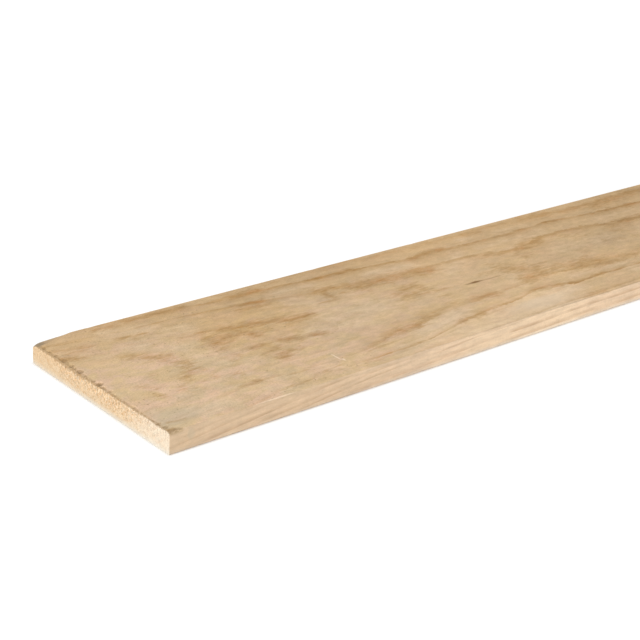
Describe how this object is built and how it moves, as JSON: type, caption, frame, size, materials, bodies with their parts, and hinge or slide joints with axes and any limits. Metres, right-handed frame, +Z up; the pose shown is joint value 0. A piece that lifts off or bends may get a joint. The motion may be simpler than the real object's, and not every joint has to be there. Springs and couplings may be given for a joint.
{
  "type": "timber plank",
  "caption": "Straight dressed softwood plank of thin, wide rectangular section, with eased long edges, rough-sawn ends and a low planer skip running out along one upper arris.",
  "frame": {"origin": "on the supporting surface, under the middle of the plank", "axes": "+X along the grain towards the end that tapers off to the treetop, +Y across the width towards the edge with the planer skip, +Z up through the thickness"},
  "size_m": [1.8, 0.19, 0.019],
  "materials": {
    "pine": "planed bare pine, matt, with rough-sawn ends"
  },
  "bodies": {
    "root": {"plank": "pine"}
  },
  "joints": []
}
